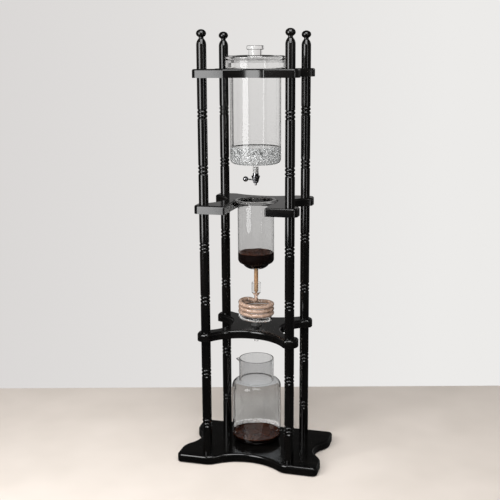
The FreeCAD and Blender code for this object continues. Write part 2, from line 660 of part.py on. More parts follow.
def coil_end(level, bend_z, side, half_turns):
    """Edges from the coil's axis out to its first or last turn, all at one level.

    The stem bends out of the axis, runs along an arm and swings round into the turn.
    """
    swing = COIL_ARM_BEND_R
    middle = COIL_R - swing
    lean = math.asin(swing / middle)
    bend = COIL_NECK_BEND_R
    half = math.sqrt(0.5)

    def arm_point(reach, drop):
        x, y = reach * math.cos(lean), side * reach * math.sin(lean)
        return coil_point(x, y, level + drop * bend_z, half_turns)

    def swing_point(angle):
        x, y = middle + swing * math.cos(angle), side * swing * math.sin(angle)
        return coil_point(x, y, level, half_turns)

    last = math.pi / 2 + lean
    stem, elbow = arm_point(0, bend), arm_point(bend, 0)
    return [
        Part.Arc(stem, arm_point(bend * (1 - half), bend * (1 - half)), elbow).toShape(),
        Part.makeLine(elbow, swing_point(last)),
        Part.Arc(swing_point(last), swing_point(last / 2), swing_point(0)).toShape(),
    ]


def coil_path():
    """Middle line of the glass tube, from the outlet's tip up to the funnel.

    It climbs clockwise seen from above. Each half turn is an arc tilted about the line
    through its two ends, so it climbs half a pitch and still meets its neighbours level.
    """
    tip = FreeCAD.Vector(0, 0, Z_LOWER - COIL_STEM_BELOW)
    edges = [Part.makeLine(tip, FreeCAD.Vector(0, 0, COIL_Z - COIL_NECK_BEND_R))]
    edges += coil_end(COIL_Z, -1, 1, 0)
    bulge = math.hypot(COIL_R, COIL_PITCH / 4)
    for turn in range(COIL_HALF_TURNS):
        z = COIL_Z + turn * COIL_PITCH / 2
        start = coil_point(COIL_R, 0, z, turn)
        middle = coil_point(0, -bulge, z + COIL_PITCH / 4, turn)
        end = coil_point(-COIL_R, 0, z + COIL_PITCH / 2, turn)
        edges.append(Part.Arc(start, middle, end).toShape())
    edges += reversed(coil_end(COIL_TOP, 1, -1, COIL_HALF_TURNS))
    edges.append(Part.makeLine(FreeCAD.Vector(0, 0, COIL_TOP + COIL_NECK_BEND_R), FreeCAD.Vector(0, 0, FUNNEL_FOOT)))
    return Part.Wire(edges)


def cooling_coil():
    """One length of glass tube: outlet stem, lower arm, turns, upper arm and neck.

    Its bore is opened in the two straight ends, as far as the bends.
    """
    path = coil_path()
    mouth = Z_LOWER - COIL_STEM_BELOW
    ring = Part.Wire(Part.makeCircle(COIL_TUBE_R, FreeCAD.Vector(0, 0, mouth), UP))
    coil = path.makePipeShell([ring], True, False)
    section = math.pi * COIL_TUBE_R ** 2
    print("coil volume against section times length:", coil.Volume / (section * path.Length))
    bore = COIL_TUBE_R - COIL_WALL
    stem_bore = rod(bore, mouth, COIL_Z - COIL_NECK_BEND_R)
    neck_bore = rod(bore, COIL_TOP + COIL_NECK_BEND_R, FUNNEL_FOOT)
    return coil.cut([stem_bore, neck_bore])


def coil_grommet():
    """Black silicone bush pushed into the lower shelf's hole. The coil's bend rests on it."""
    bore = COIL_TUBE_R + GROMMET_CLEAR
    flange_top = Z_LOWER_TOP + GROMMET_FLANGE_T
    return turned([
        (bore, Z_LOWER),
        (COIL_HOLE_R, Z_LOWER),
        (COIL_HOLE_R, Z_LOWER_TOP),
        (GROMMET_FLANGE_R, Z_LOWER_TOP),
        (GROMMET_FLANGE_R, flange_top - 1.0),
        (GROMMET_FLANGE_R - 1.0, flange_top),
        (GROMMET_NECK_R + 1.0, flange_top),
        (GROMMET_NECK_R, COIL_Z - COIL_NECK_BEND_R),
        (bore, COIL_Z - COIL_NECK_BEND_R),
    ])


def inlet_funnel():
    """Cup at the coil's head that the drip tube hangs in."""
    cone_top = FUNNEL_FOOT + FUNNEL_CONE_H
    return turned([
        (COIL_TUBE_R - COIL_WALL, FUNNEL_FOOT),
        (COIL_TUBE_R, FUNNEL_FOOT),
        (FUNNEL_R, cone_top),
        (FUNNEL_R, FUNNEL_RIM),
        (FUNNEL_R - COIL_WALL, FUNNEL_RIM),
        (FUNNEL_R - COIL_WALL, cone_top + COIL_WALL / 2),
        (COIL_TUBE_R - COIL_WALL, FUNNEL_FOOT + COIL_WALL),
    ])


# ---- Carafe ----------------------------------------------------------------------
def carafe_profile(inset, foot, rim):
    """The carafe's outline moved in by a wall, from its foot to its rim."""
    body = CARAFE_R - inset
    neck = CARAFE_NECK_R - inset
    foot_round = CARAFE_FOOT_ROUND - inset
    shoulder = CARAFE_SHOULDER_R - inset
    shoulder_top = CARAFE_NECK_FOOT - inset * 0.4
    return [
        (0, foot),
        (body - foot_round, foot),
        round_to(body - foot_round, foot + foot_round, foot_round, -90, 0),
        (body, shoulder_top - shoulder),
        round_to(body - shoulder, shoulder_top - shoulder, shoulder, 0, 90),
        (neck, shoulder_top),
        (neck, rim),
        (0, rim),
    ]


def spout_cone(inset):
    """A leaning cone whose open end, cut level with the rim, makes the pouring lip."""
    apex = FreeCAD.Vector(-(CARAFE_NECK_R - SPOUT_R + inset), 0, CARAFE_RIM - SPOUT_DROP + inset * 2)
    lean = FreeCAD.Vector(-SPOUT_REACH, 0, SPOUT_DROP)
    height = lean.Length * 1.5
    cone = Part.makeCone(0, (SPOUT_R - inset * 0.4) * 1.5, height, apex, lean)
    above = Part.makeBox(200, 200, 100, FreeCAD.Vector(-100, -100, CARAFE_RIM + (1 if inset else 0)))
    return cone.cut(above)


def carafe():
    outer = turned(carafe_profile(0, Z_BASE_TOP, CARAFE_RIM)).fuse(spout_cone(0))
    inner = turned(carafe_profile(CARAFE_WALL, Z_BASE_TOP + CARAFE_WALL, CARAFE_RIM + 1))
    vessel = outer.cut(inner).cut(spout_cone(CARAFE_WALL))
    vessel.rotate(ORIGIN, UP, SPOUT_CLOCK)
    vessel.translate(FreeCAD.Vector(CARAFE_X, CARAFE_Y, 0))
    return vessel.removeSplitter()


# ---- Every node, by name ---------------------------------------------------------
def nodes():
    yield "base_plate", base_plate()
    yield "foot_pads", foot_pads()
    yield "base_bolts", base_bolts()
    yield "lower_shelf", lower_shelf()
    yield "coil_grommet", coil_grommet()
    yield "middle_shelf", middle_shelf()
    yield "top_plate", top_plate()
    yield "lower_shelf_studs", studs(Z_LOWER)
    yield "middle_shelf_studs", studs(Z_MIDDLE)
    yield "top_plate_studs", studs(Z_TOP)
    for tier, z in TIERS.items():
        for corner, (x, y) in CORNERS.items():
            yield f"{tier}_spindle_{corner}", spindle(x, y, z)
    for corner, (x, y) in CORNERS.items():
        yield f"finial_{corner}", finial(x, y)
    yield "water_beaker", water_beaker()
    yield "beaker_lid", beaker_lid()
    yield "tap_seal", tap_seal()
    yield "tap_nut", tap_nut()
    yield "tap_body", tap_body()
    yield "drip_nozzle", drip_nozzle()
    yield "tap_plug", tap_plug()
    yield "tap_lever", tap_lever()
    yield "tap_ball", tap_ball()
    yield "plug_washer", plug_washer()
    yield "plug_nut", plug_nut()
    yield "coffee_beaker", coffee_beaker()
    yield "filter_disc", filter_disc()
    yield "filter_gasket", filter_gasket()
    yield "cooling_coil", cooling_coil()
    yield "inlet_funnel", inlet_funnel()
    yield "carafe", carafe()


os.makedirs("parts", exist_ok=True)
for name, shape in nodes():
    shape.exportStep(f"parts/{name}.step")
    print(f"{name}: {len(shape.Solids)} solids, {shape.Volume / 1000:.1f} cm3, valid {shape.isValid()}")
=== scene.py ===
"""A cold drip coffee tower: black turned timber, glass vessels, a drip tap and a glass coil."""
import math
import random

import bmesh
import bpy
from mathutils import Matrix, Vector, noise


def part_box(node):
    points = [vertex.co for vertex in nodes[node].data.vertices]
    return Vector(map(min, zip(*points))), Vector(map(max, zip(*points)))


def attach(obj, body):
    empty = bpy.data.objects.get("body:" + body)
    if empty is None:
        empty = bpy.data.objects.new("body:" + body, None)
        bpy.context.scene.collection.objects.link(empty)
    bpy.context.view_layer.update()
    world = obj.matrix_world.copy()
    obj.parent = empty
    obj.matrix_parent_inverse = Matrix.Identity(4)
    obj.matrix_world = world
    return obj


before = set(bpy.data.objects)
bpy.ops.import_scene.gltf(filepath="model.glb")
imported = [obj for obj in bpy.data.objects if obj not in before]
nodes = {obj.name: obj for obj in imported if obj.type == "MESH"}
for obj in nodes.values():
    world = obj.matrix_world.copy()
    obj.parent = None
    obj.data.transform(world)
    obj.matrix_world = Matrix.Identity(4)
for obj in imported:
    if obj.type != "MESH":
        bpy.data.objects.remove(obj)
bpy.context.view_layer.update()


# ---- Camera ----------------------------------------------------------------------
# Stands to the right of the tower's front, level with its lid, and looks down at it by
# twelve degrees, with a third of a degree of roll and a short telephoto lens.
CAMERA_PLACE = Vector((0.5981, -2.2923, 1.0825))
CAMERA_AZIMUTH = math.radians(15.02)
CAMERA_ELEVATION = math.radians(11.9)
CAMERA_ROLL = math.radians(-0.314)
CAMERA_REACH = 50
SENSOR = 36.0
LENS = 64.21

back = Vector((
    math.sin(CAMERA_AZIMUTH) * math.cos(CAMERA_ELEVATION),
    -math.cos(CAMERA_AZIMUTH) * math.cos(CAMERA_ELEVATION),
    math.sin(CAMERA_ELEVATION),
))
level_right = Vector((0, 0, 1)).cross(back).normalized()
level_up = back.cross(level_right)
right = level_right * math.cos(CAMERA_ROLL) + level_up * math.sin(CAMERA_ROLL)
up = level_up * math.cos(CAMERA_ROLL) - level_right * math.sin(CAMERA_ROLL)
aim = Matrix((right, up, back)).transposed().to_4x4()

camera = bpy.data.objects.new("camera", bpy.data.cameras.new("camera"))
camera.data.sensor_width = SENSOR
camera.data.lens = LENS
camera.data.clip_end = CAMERA_REACH
camera.matrix_world = Matrix.Translation(CAMERA_PLACE) @ aim
bpy.context.scene.collection.objects.link(camera)
bpy.context.scene.camera = camera


# ---- Black lacquered timber ------------------------------------------------------
# Boards, spindles and finials are beech, stained and sprayed with black lacquer. The
# grain still shows faintly in the gloss, as paler streaks that run along each piece.
class Port:
    """One output of a shader node. Sums, differences and products add Math nodes."""

    def __init__(self, finish, socket):
        self.finish = finish
        self.socket = socket

    def maths(self, operation, first, second):
        return self.finish.node("ShaderNodeMath", {"operation": operation}, {0: first, 1: second})

    def __add__(self, other):
        return self.maths("ADD", self, other)

    def __radd__(self, other):
        return self.maths("ADD", other, self)

    def __sub__(self, other):
        return self.maths("SUBTRACT", self, other)

    def __rsub__(self, other):
        return self.maths("SUBTRACT", other, self)

    def __mul__(self, other):
        return self.maths("MULTIPLY", self, other)

    def __rmul__(self, other):
        return self.maths("MULTIPLY", other, self)


class Finish:
    """A material, or the world, while its shader nodes are being joined up."""

    def __init__(self, owner):
        owner.use_nodes = True
        self.owner = owner
        self.tree = owner.node_tree
        self.shader = self.tree.nodes.get("Principled BSDF")

    def node(self, kind, settings, sockets, output=0):
        """Add one node: its settings first, then the values or links of its sockets."""
        made = self.tree.nodes.new(kind)
        for name, value in settings.items():
            if name == "stops":
                set_stops(made.color_ramp, value)
            else:
                setattr(made, name, value)
        self.plug(made, sockets)
        return Port(self, made.outputs[output])

    def plug(self, node, sockets):
        for name, value in sockets.items():
            if isinstance(value, Port):
                self.tree.links.new(value.socket, node.inputs[name])
            else:
                node.inputs[name].default_value = value

    def surface(self, **sockets):
        self.plug(self.shader, {name.replace("_", " "): value for name, value in sockets.items()})
        return self.owner

    def place(self):
        return self.node("ShaderNodeTexCoord", {}, {}, "Object")

    def height(self):
        return self.node("ShaderNodeSeparateXYZ", {}, {"Vector": self.place()}, "Z")

    def stretched(self, scale):
        return self.node("ShaderNodeMapping", {}, {"Vector": self.place(), "Scale": scale})

    def speckle(self, where, scale, detail=3.0):
        sockets = {"Vector": where, "Scale": scale, "Detail": detail}
        return self.node("ShaderNodeTexNoise", {}, sockets, "Fac")

    def ramp(self, value, stops):
        return self.node("ShaderNodeValToRGB", {"stops": stops}, {"Fac": value}, "Color")

    def bump(self, height, strength, distance):
        sockets = {"Height": height, "Strength": strength, "Distance": distance}
        return self.node("ShaderNodeBump", {}, sockets)


def set_stops(ramp, stops):
    """Give a colour ramp its stops, each a place from 0 to 1 and a grey or a colour."""
    while len(ramp.elements) < len(stops):
        ramp.elements.new(0.5)
    for element, (place, colour) in zip(ramp.elements, stops):
        element.position = place
        element.color = colour if isinstance(colour, tuple) else (colour, colour, colour, 1)


def new_finish(name):
    return Finish(bpy.data.materials.new(name))


def coat_nodes(names, material):
    """Put a finish on CAD nodes, in place of the one they came with."""
    for name in names:
        piece = nodes[name]
        piece.data.materials.clear()
        piece.data.materials.append(material)


BOARDS = ["base_plate", "lower_shelf", "middle_shelf", "top_plate"]
TURNED = [name for name in nodes if "spindle" in name or name.startswith("finial")]
LACQUER = (0.0012, 0.0012, 0.0012, 1)
LACQUER_THIN = (0.0042, 0.0035, 0.0031, 1)
ALONG_BOARD = (0.12, 1.0, 1.0)
ALONG_SPINDLE = (1.0, 1.0, 0.1)


def lacquer(name, along, dullness, relief):
    """Black lacquer over timber whose grain is drawn out along one axis of the object."""
    finish = new_finish(name)
    grain = finish.speckle(finish.stretched(along), scale=60.0, detail=2.0)
    cloud = finish.speckle(finish.place(), scale=14.0)
    return finish.surface(
        Base_Color=finish.ramp(grain, [(0.35, LACQUER), (0.8, LACQUER_THIN)]),
        Roughness=cloud * 0.08 + grain * 0.04 + dullness,
        Normal=finish.bump(grain, strength=relief, distance=0.0002),
    )


coat_nodes(BOARDS, lacquer("lacquer_boards", ALONG_BOARD, dullness=0.09, relief=0.03))
coat_nodes(TURNED, lacquer("lacquer_turned", ALONG_SPINDLE, dullness=0.06, relief=0.005))


# ---- Studs, bolts, foot pads and coil bush ---------------------------------------
# Zinc plated steel rod joins the turned pieces through the boards, and cap bolts come
# up from under the base. Black rubber pads are glued under its four corners, and a
# grey rubber bush sits in the lower shelf's hole and carries the coil.
STEEL = ["base_bolts", "lower_shelf_studs", "middle_shelf_studs", "top_plate_studs"]
ZINC_DARK = (0.46, 0.47, 0.49, 1)
ZINC_PALE = (0.62, 0.63, 0.65, 1)


def zinc():
    finish = new_finish("zinc_plate")
    sockets = {"Vector": finish.place(), "Scale": 260.0}
    spangle = finish.node("ShaderNodeTexVoronoi", {}, sockets, "Distance")
    colour = finish.ramp(spangle, [(0.1, ZINC_DARK), (0.9, ZINC_PALE)])
    return finish.surface(Base_Color=colour, Metallic=1.0, Roughness=spangle * 0.2 + 0.3)


def rubber(name, dark, pale):
    finish = new_finish(name)
    grit = finish.speckle(finish.place(), scale=900.0)
    return finish.surface(
        Base_Color=finish.ramp(grit, [(0.3, dark), (0.75, pale)]),
        Roughness=grit * 0.2 + 0.6,
        Normal=finish.bump(grit, strength=0.3, distance=0.0003),
    )


coat_nodes(STEEL, zinc())
coat_nodes(["foot_pads"], rubber("pad_rubber", dark=0.018, pale=0.04))
coat_nodes(["coil_grommet"], rubber("bush_rubber", dark=0.04, pale=0.07))


# ---- Glass of the beakers, lid, coil and carafe ----------------------------------
# Borosilicate glass, slightly smoky where the light crosses it twice. Each piece's tint
# also changes with its height, which is painted shade: the water beaker and the lid are
# greyer at the foot than at the top, and the carafe's neck is greyer than its body, whose
# faint blue is painted to cancel the warm cloth seen through it. The beakers, coil and
# carafe are blown and the lid is pressed. Their walls are a little wavy, most of all
# those of the coil and the carafe, and the flanges and the lip are fire polished.
ALONG_WALL = (1.0, 1.0, 0.35)
HARDLY_WAVY = 0.01
MOTTLE = 0.2                # how far the mix of two tints strays from place to place
# Painted shade by height: the water beaker's glass greys towards its foot and clears towards its
# top.
BEAKER_SHADE_HEIGHTS = (0.80, 1.09)    # between these the first tint gives way to the second
BEAKER_SHADED_TINTS = (0.90, 0.95)
# Painted shade by height: the lid's glass is greyer at its foot and clear at its knob.
LID_SHADE_HEIGHTS = (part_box("beaker_lid")[0].z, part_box("beaker_lid")[1].z)
LID_SHADED_TINTS = (0.86, 1.0)
COFFEE_STAGE_HEIGHTS = (0.4, 1.1)
COFFEE_BEAKER_TINTS = (0.78, 0.79)
COIL_TINTS = (0.95, 0.96)
# Painted shade by height: the carafe's neck is greyer than its body, and the body is painted
# faintly blue to cancel the warm cloth seen through it.
CARAFE_SHADE_HEIGHTS = (0.150, 0.188)
CARAFE_SHADED_TINTS = ((0.85, 0.88, 0.905, 1), (0.71, 0.715, 0.72, 1))


def light_through(finish, tint):
    """Lamps shine through the glass, where a ray traced to a lamp would be stopped."""
    clear = finish.node("ShaderNodeBsdfTransparent", {}, {"Color": (tint, tint, tint, 1)})
    towards_lamp = finish.node("ShaderNodeLightPath", {}, {}, "Is Shadow Ray")
    solid = Port(finish, finish.shader.outputs[0])
    both = finish.node("ShaderNodeMixShader", {}, {0: towards_lamp, 1: solid, 2: clear})
    finish.plug(finish.tree.nodes["Material Output"], {"Surface": both})


def glass(name, tints, heights, wave_scale, index=1.47, wavy=0.05, glare=1.0):
    """Clear glass, with one tint under the first height and another over the second: a painted
    shade by height.
    """
    finish = new_finish(name)
    wave = finish.speckle(finish.stretched(ALONG_WALL), scale=wave_scale, detail=1.0)
    shade = finish.speckle(finish.place(), scale=9.0, detail=1.0)
    (low_tint, high_tint), (low, high) = tints, heights
    share = (finish.height() - low) * (1 / (high - low)) + shade * MOTTLE - MOTTLE / 2
    finish.surface(
        Base_Color=finish.ramp(share, [(0.0, low_tint), (1.0, high_tint)]),
        Roughness=shade * 0.01,
        Normal=finish.bump(wave, strength=wavy, distance=0.002),
        Transmission_Weight=1.0,
        IOR=index,
        Specular_Tint=(glare, glare, glare, 1),
    )
    light_through(finish, tint=0.85)
    return finish.owner


beaker_glass = glass(
    "beaker_glass", BEAKER_SHADED_TINTS, BEAKER_SHADE_HEIGHTS, wave_scale=12.0, wavy=HARDLY_WAVY, glare=0.75
)
lid_glass = glass("lid_glass", LID_SHADED_TINTS, LID_SHADE_HEIGHTS, wave_scale=12.0, wavy=HARDLY_WAVY)
coffee_glass = glass(
    "coffee_glass", COFFEE_BEAKER_TINTS, COFFEE_STAGE_HEIGHTS,
    wave_scale=12.0, index=1.36, wavy=HARDLY_WAVY,
)
coil_glass = glass("coil_glass", COIL_TINTS, COFFEE_STAGE_HEIGHTS, wave_scale=90.0)
carafe_glass = glass("carafe_glass", CARAFE_SHADED_TINTS, CARAFE_SHADE_HEIGHTS, wave_scale=20.0, index=1.42)
coat_nodes(["water_beaker"], beaker_glass)
coat_nodes(["beaker_lid"], lid_glass)
coat_nodes(["coffee_beaker"], coffee_glass)
coat_nodes(["inlet_funnel", "cooling_coil"], coil_glass)
coat_nodes(["carafe"], carafe_glass)


# ---- Silicone seals and ceramic filter -------------------------------------------
# A milky silicone sleeve seals the tap in the glass and a ring seals the filter, which
# is pressed, unglazed ceramic.
SILICONE_DARK = (0.42, 0.42, 0.41, 1)
SILICONE_PALE = (0.54, 0.54, 0.53, 1)
CERAMIC_DARK = (0.70, 0.66, 0.58, 1)
CERAMIC_PALE = (0.84, 0.81, 0.74, 1)


def silicone():
    finish = new_finish("silicone")
    cloud = finish.speckle(finish.place(), scale=120.0)
    return finish.surface(
        Base_Color=finish.ramp(cloud, [(0.3, SILICONE_DARK), (0.7, SILICONE_PALE)]),
        Roughness=cloud * 0.2 + 0.35,
        Transmission_Weight=0.3,
    )


def ceramic():
    finish = new_finish("unglazed_ceramic")
    grit = finish.speckle(finish.place(), scale=800.0, detail=4.0)
    return finish.surface(
        Base_Color=finish.ramp(grit, [(0.3, CERAMIC_DARK), (0.7, CERAMIC_PALE)]),
        Roughness=0.85,
        Normal=finish.bump(grit, strength=0.5, distance=0.0004),
    )


coat_nodes(["tap_seal", "filter_gasket"], silicone())
coat_nodes(["filter_disc"], ceramic())


# ---- Drip tap --------------------------------------------------------------------
# A plated brass petcock: nut, waisted body, cross plug, lever with a ball, and a thin
# nozzle. The plating is bright, with a fine haze left by polishing, and its colour is
# kept dark as painted shade, so that it reflects the room darker than chrome does.
TAP_BODY = ["tap_nut", "tap_body", "drip_nozzle"]
TAP_PLUG = ["tap_plug", "plug_washer", "plug_nut", "tap_lever", "tap_ball"]
# Both plating colours are dark as painted shade; the haze between them is the plating's own.
SHADED_PLATING_DARK = (0.17, 0.17, 0.18, 1)
SHADED_PLATING_PALE = (0.30, 0.30, 0.31, 1)


def chrome():
    finish = new_finish("chrome")
    haze = finish.speckle(finish.place(), scale=300.0, detail=4.0)
    return finish.surface(
        Base_Color=finish.ramp(haze, [(0.3, SHADED_PLATING_DARK), (0.7, SHADED_PLATING_PALE)]),
        Metallic=1.0,
        Roughness=haze * 0.10 + 0.06,
        Normal=finish.bump(haze, strength=0.05, distance=0.0001),
    )


coat_nodes(TAP_BODY + TAP_PLUG, chrome())


# ---- Water in the beaker ---------------------------------------------------------
# Cold water stands in the bottom of the beaker. It wets the glass, so its edge climbs
# the wall a little.
BEAKER_WALL = 0.003
BEAKER_CORNER = 0.010
OUTLET_LENGTH = 0.026
FLANGE = 0.0105
INTO_GLASS = 0.0002         # contents reach this far into the glass that holds them
WATER_LEVEL = 0.862
WATER_EDGE = [(0, 0.0018), (0.0006, 0.0009), (0.0016, 0.00018), (0.0035, 0)]  # inward, and up
WATER_THIN = (0.97, 0.98, 0.98, 1)
WATER_DEEP = (0.93, 0.95, 0.95, 1)


def finished(name, form):
    """Turn an edited form into a smooth-shaded object in the scene."""
    bmesh.ops.recalc_face_normals(form, faces=form.faces)
    mesh = bpy.data.meshes.new(name)
    form.to_mesh(mesh)
    form.free()
    for face in mesh.polygons:
        face.use_smooth = True
    piece = bpy.data.objects.new(name, mesh)
    bpy.context.scene.collection.objects.link(piece)
    return piece


def turned_mesh(name, profile, steps=96):
    """Turn a list of (radius, height) points about the tower's axis into a closed skin."""
    form = bmesh.new()
    rings = []
    for radius, height in profile:
        if radius == 0:
            rings.append([form.verts.new((0, 0, height))])
            continue
        ring = []
        for step in range(steps):
            turn = 2 * math.pi * step / steps
            ring.append(form.verts.new((radius * math.cos(turn), radius * math.sin(turn), height)))
        rings.append(ring)
    for low, high in zip(rings, rings[1:]):
        for step in range(steps):
            after = (step + 1) % steps
            corners = [low[step % len(low)], low[after % len(low)]]
            corners += [high[after % len(high)], high[step % len(high)]]
            form.faces.new(list(dict.fromkeys(corners)))
    return finished(name, form)


def arc(centre_r, centre_z, radius, start, end, steps=8):
    """Points of a profile's round stretch, from one angle to another in degrees."""
    points = []
    for step in range(steps + 1):
        turn = math.radians(start + (end - start) * step / steps)
        points.append((centre_r + radius * math.cos(turn), centre_z + radius * math.sin(turn)))
    return points


def liquid(floor, radius, corner, level, edge):
    """Profile of a liquid in a vessel with a round corner, with its edge up the wall."""
    profile = [(0, floor), (radius - corner, floor)]
    profile += arc(radius - corner, floor + corner, corner, -90, 0)[1:]
    profile += [(radius - inward, level + climb) for inward, climb in edge]
    return profile + [(0, level)]


def water():
    finish = new_finish("water")
    ripple = finish.speckle(finish.place(), scale=60.0, detail=2.0)
    finish.surface(
        Base_Color=finish.ramp(ripple, [(0.3, WATER_DEEP), (0.7, WATER_THIN)]),
        Roughness=0.0,
        Normal=finish.bump(ripple, strength=0.05, distance=0.001),
        Transmission_Weight=1.0,
        IOR=1.33,
    )
    light_through(finish, tint=0.95)
    return finish.owner


beaker_low, beaker_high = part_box("water_beaker")
beaker_r = beaker_high.x - FLANGE - BEAKER_WALL + INTO_GLASS
water_floor = beaker_low.z + OUTLET_LENGTH + BEAKER_WALL - INTO_GLASS
profile = liquid(water_floor, beaker_r, BEAKER_CORNER, WATER_LEVEL, WATER_EDGE)
cold_water = turned_mesh("cold_water", profile)
cold_water.data.materials.append(water())
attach(cold_water, "water_stage")


# ---- Crushed ice in the water ----------------------------------------------------
# Small lumps of crushed ice fill the water to its top. They are rounded by melting, and
# clouded by the air that froze in them.
ICE_COUNT = 900
ICE_SMALL = 0.0015
ICE_LARGE = 0.0034
ICE_OFF_WALL = 1.6          # this and the next two are in sizes of the lump
ICE_OFF_FLOOR = 1.5
ICE_UNDER_LEVEL = 0.4
ICE_CORE = 0.2              # share of the beaker's area, in its middle, without lumps
ICE_CORNER = 0.004          # from this far inside the floor's round corner, lumps lie higher
ICE_CORNER_RISE = 0.6
ICE_DARK = (0.54, 0.55, 0.55, 1)
ICE_PALE = (0.99, 0.99, 0.99, 1)
ICE_RANDOM = random.Random(11)
LUMP_STRETCH = 0.25
LUMP_FINENESS = 1.3
NOISE_FIELD = 40            # lumps take their unevenness from places this far apart


def unit_ball():
    """Corners and faces of a ball, from which every lump is made."""
    form = bmesh.new()
    bmesh.ops.create_icosphere(form, subdivisions=2, radius=1.0)
    corners = [corner.co.copy() for corner in form.verts]
    faces = [[corner.index for corner in face.verts] for face in form.faces]
    form.free()
    return corners, faces


BALL_CORNERS, BALL_FACES = unit_ball()


def add_lump(form, centre, size, dice, bumps=0.25):
    """Add one uneven rounded lump, turned and stretched at random."""
    shift = Vector((dice.random(), dice.random(), dice.random())) * NOISE_FIELD
    stretch = [size * dice.uniform(1 - LUMP_STRETCH, 1 + LUMP_STRETCH) for _ in range(3)]
    angle = dice.uniform(0, math.pi)
    turn = Matrix.Rotation(angle, 3, Vector((dice.random(), dice.random(), 1)).normalized())
    lump = []
    for corner in BALL_CORNERS:
        rough = 1 + bumps * noise.noise(corner * LUMP_FINENESS + shift)
        point = Vector([part * along for part, along in zip(corner * rough, stretch)])
        lump.append(form.verts.new(turn @ point + centre))
    for face in BALL_FACES:
        form.faces.new([lump[index] for index in face])


def ice():
    finish = new_finish("crushed_ice")
    cloud = finish.speckle(finish.place(), scale=260.0)
    finish.surface(
        Base_Color=finish.ramp(cloud, [(0.36, ICE_DARK), (0.53, ICE_PALE)]),
        Roughness=cloud * 0.15,
        Normal=finish.bump(cloud, strength=0.4, distance=0.001),
        Transmission_Weight=0.85,
        IOR=1.31,
    )
    light_through(finish, tint=0.9)
    return finish.owner


form = bmesh.new()
rises_from = beaker_r - BEAKER_CORNER - ICE_CORNER
for lump in range(ICE_COUNT):
    size = ICE_RANDOM.uniform(ICE_SMALL, ICE_LARGE)
    reach = (beaker_r - size * ICE_OFF_WALL) * math.sqrt(ICE_RANDOM.uniform(ICE_CORE, 1.0))
    turn = ICE_RANDOM.uniform(0, 2 * math.pi)
    low = water_floor + size * ICE_OFF_FLOOR + max(0, reach - rises_from) * ICE_CORNER_RISE
    height = ICE_RANDOM.uniform(low, WATER_LEVEL - size * ICE_UNDER_LEVEL)
    place = Vector((reach * math.cos(turn), reach * math.sin(turn), height))
    add_lump(form, place, size, ICE_RANDOM)
crushed_ice = finished("crushed_ice", form)
crushed_ice.data.materials.append(ice())
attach(crushed_ice, "water_stage")


# ---- Ground coffee in the coffee beaker ------------------------------------------
# Wet grounds lie on the filter and up the beaker's stepped wall, nearly black against
# the glass, with a browner foam on top.
COFFEE_LIP = 0.0106
COFFEE_WALL = 0.002
INTO_WALL = 0.0009          # the grounds reach further into the glass, which they darken
SHOULDER_HIGH = 0.0112      # top of the stepped wall, above the filter's top
SHOULDER_OUT = 0.75         # where the step's arc passes, as shares of its way out and up
SHOULDER_UP = 0.32
BED_LEVEL = 0.578
BED_RINGS = 24
BED_STEPS = 128
BED_HEAVES = [(90, 0.0014), (320, 0.0007)]    # fineness and height of its unevenness
ON_TOP = 1e-4               # corners this near the bed's level belong to its top
FOAM_DEPTH = 0.0012
GROUNDS_DARK = (0.0016, 0.0006, 0.0004, 1)
GROUNDS_PALE = (0.006, 0.002, 0.0012, 1)
FOAM_DARK = (0.010, 0.003, 0.002, 1)
FOAM_PALE = (0.060, 0.025, 0.016, 1)
WET_GLOSS = 0.03            # coffee under glass shows hardly any gloss of its own


def through(start, middle, end, steps=8):
    """Points of the arc that goes from one point by another to a third, without the first."""
    (ax, ay), (bx, by), (cx, cy) = start, middle, end
    twice = 2 * (ax * (by - cy) + bx * (cy - ay) + cx * (ay - by))
    squares = (ax * ax + ay * ay, bx * bx + by * by, cx * cx + cy * cy)
    x = (squares[0] * (by - cy) + squares[1] * (cy - ay) + squares[2] * (ay - by)) / twice
    y = (squares[0] * (cx - bx) + squares[1] * (ax - cx) + squares[2] * (bx - ax)) / twice
    first = math.degrees(math.atan2(ay - y, ax - x))
    last = math.degrees(math.atan2(cy - y, cx - x))
    swing = (last - first + 180) % 360 - 180
    return arc(x, y, math.hypot(ax - x, ay - y), first, first + swing, steps)[1:]


def two_tone(finish, low_colour, high_colour, level, depth):
    """One colour below a height and another above it, blended over a depth."""
    on_top = (finish.height() - (level - depth)) * (1 / depth)
    share = finish.ramp(on_top, [(0.0, 0.0), (1.0, 1.0)])
    sockets = {"Factor": share, "A": low_colour, "B": high_colour}
    return finish.node("ShaderNodeMix", {"data_type": "RGBA"}, sockets, "Result")


def grounds():
    finish = new_finish("wet_grounds")
    grit = finish.speckle(finish.place(), scale=900.0, detail=6.0)
    cloud = finish.speckle(finish.place(), scale=60.0)
    dark = finish.ramp(grit, [(0.35, GROUNDS_DARK), (0.8, GROUNDS_PALE)])
    foam = finish.ramp(cloud * 0.6 + grit * 0.4, [(0.35, FOAM_DARK), (0.62, FOAM_PALE)])
    return finish.surface(
        Base_Color=two_tone(finish, dark, foam, BED_LEVEL, FOAM_DEPTH),
        Roughness=grit * 0.4 + 0.3,
        Normal=finish.bump(grit, strength=0.6, distance=0.0008),
        Specular_IOR_Level=WET_GLOSS,
    )


ring_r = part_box("filter_gasket")[1].x
cup_r = ring_r + INTO_WALL
filter_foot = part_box("filter_disc")[0].z
filter_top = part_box("filter_disc")[1].z
bed_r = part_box("coffee_beaker")[1].x - COFFEE_LIP - COFFEE_WALL + INTO_WALL
bed_foot = filter_top - INTO_WALL
shoulder = filter_top + SHOULDER_HIGH
bulge = (cup_r + (bed_r - cup_r) * SHOULDER_OUT, bed_foot + (shoulder - bed_foot) * SHOULDER_UP)

